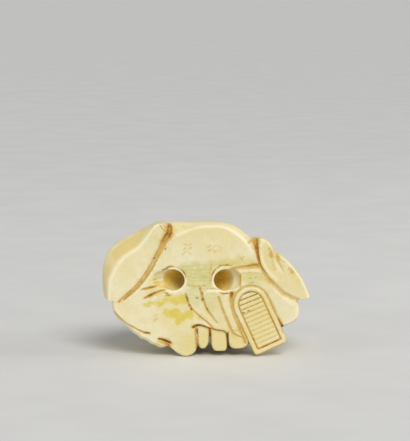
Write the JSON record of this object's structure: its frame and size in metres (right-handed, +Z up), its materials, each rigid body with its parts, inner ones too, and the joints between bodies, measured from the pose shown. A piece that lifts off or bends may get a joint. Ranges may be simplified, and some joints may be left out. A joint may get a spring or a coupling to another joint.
{
  "type": "carved netsuke",
  "caption": "Small carved netsuke of a seated, bowed figure in a wide-sleeved robe, with a cord tunnel through its flat seat.",
  "frame": {"origin": "the middle of the carving in X and Y, on the surface that it stands on, as it is pictured: upright on its front, with the flat seat facing -Y", "axes": "+X across the figure, from its left sleeve as seen from the seat to its right one; +Y from the flat seat to the crown of the head; +Z up, from the knees, cuffs and forehead that it stands on to the figure's back"},
  "size_m": [0.042, 0.0336, 0.0274],
  "materials": {
    "carved_ivory": "satin"
  },
  "bodies": {
    "root": {"carved_netsuke": "carved_ivory"}
  },
  "joints": []
}
